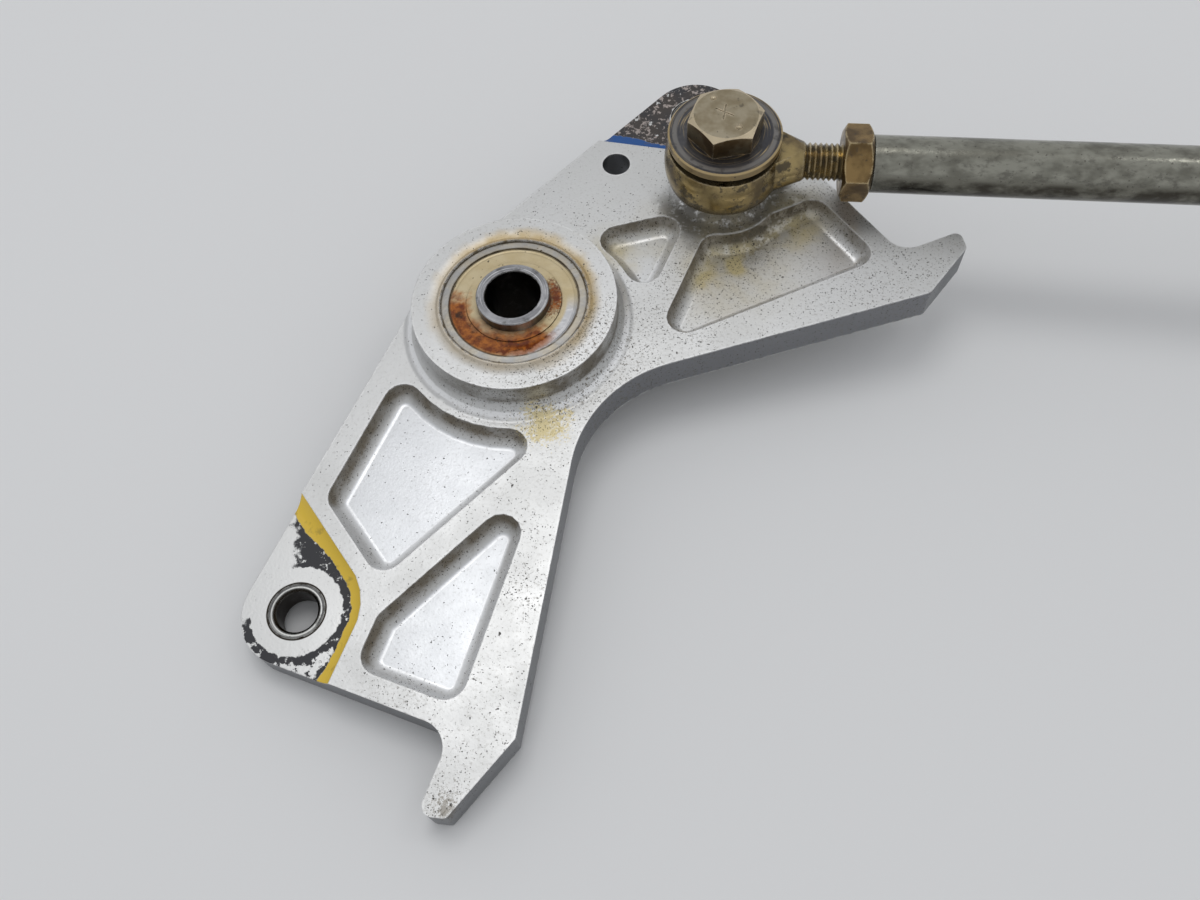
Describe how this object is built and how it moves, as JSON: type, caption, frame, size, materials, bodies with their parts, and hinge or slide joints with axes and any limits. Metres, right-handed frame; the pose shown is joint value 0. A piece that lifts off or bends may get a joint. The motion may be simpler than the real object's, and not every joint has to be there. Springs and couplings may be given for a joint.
{
  "type": "control bellcrank with push rod",
  "caption": "Pocketed aluminium bellcrank on a ball bearing pivot, with bushed cable lugs, stop horns and a push rod on spherical rod ends.",
  "frame": {"origin": "on the pivot axis, level with the flat underside of the plate", "axes": "+Z along the pivot axis to the bolt head's side, +X along the push rod at rest"},
  "size_m": [0.2276, 0.1371, 0.0354],
  "materials": {
    "satin_aluminium": "satin",
    "sleeve_steel": "satin",
    "dark_steel": "satin",
    "bronze_plate": "satin",
    "washer_steel": "satin",
    "nut_insert": "matte",
    "tube_steel": "satin",
    "bearing_steel": "satin",
    "cage_steel": "satin",
    "shield_tan": "satin",
    "gold_plate": "satin"
  },
  "bodies": {
    "pivot": {"pivot_sleeve": "sleeve_steel", "upper_bearing_inner_ring": "bearing_steel", "lower_bearing_inner_ring": "bearing_steel"},
    "crank": {"crank_plate": "satin_aluminium", "upper_bearing_outer_ring": "bearing_steel", "lower_bearing_outer_ring": "bearing_steel", "upper_bearing_shield": "shield_tan", "lower_bearing_shield": "shield_tan", "lower_lug_bush": "dark_steel", "upper_lug_bush": "dark_steel", "rod_bolt": "bronze_plate", "head_washer": "washer_steel", "nut_washer": "washer_steel", "lock_nut": "bronze_plate", "lock_nut_insert": "nut_insert"},
    "ball_sets": {"upper_bearing_balls": "bearing_steel", "upper_bearing_cage": "cage_steel", "lower_bearing_balls": "bearing_steel", "lower_bearing_cage": "cage_steel"},
    "near_ball": {"near_rod_end_ball": "bearing_steel"},
    "push_rod": {"near_rod_end_body": "gold_plate", "near_rod_end_race": "cage_steel", "near_jam_nut": "gold_plate", "push_rod_tube": "tube_steel", "far_jam_nut": "gold_plate", "far_rod_end_body": "gold_plate", "far_rod_end_race": "cage_steel"},
    "far_ball": {"far_rod_end_ball": "bearing_steel"}
  },
  "joints": [
    {"name": "crank_pivot", "type": "hinge", "parent": "pivot", "child": "crank", "pos_m": [0, 0, 0], "axis": [0, 0, 1], "continuous": true},
    {"name": "ball_orbit", "type": "hinge", "parent": "pivot", "child": "ball_sets", "pos_m": [0, 0, 0], "axis": [0, 0, 1], "continuous": true},
    {"name": "rod_swivel", "type": "hinge", "parent": "crank", "child": "near_ball", "pos_m": [0.03247, 0.03028, 0.01425], "axis": [0, 0, 1], "range_deg": [-100, 180]},
    {"name": "rod_tilt", "type": "hinge", "parent": "near_ball", "child": "push_rod", "pos_m": [0.03247, 0.03028, 0.01425], "axis": [0, 1, 0], "range_deg": [-5, 3]},
    {"name": "far_ball_roll", "type": "hinge", "parent": "push_rod", "child": "far_ball", "pos_m": [0.18247, 0.03028, 0.01425], "axis": [1, 0, 0], "range_deg": [-12, 12]}
  ],
  "couplings": [
    {"joint": "ball_orbit", "follows": "crank_pivot", "ratio": 0.58889}
  ]
}
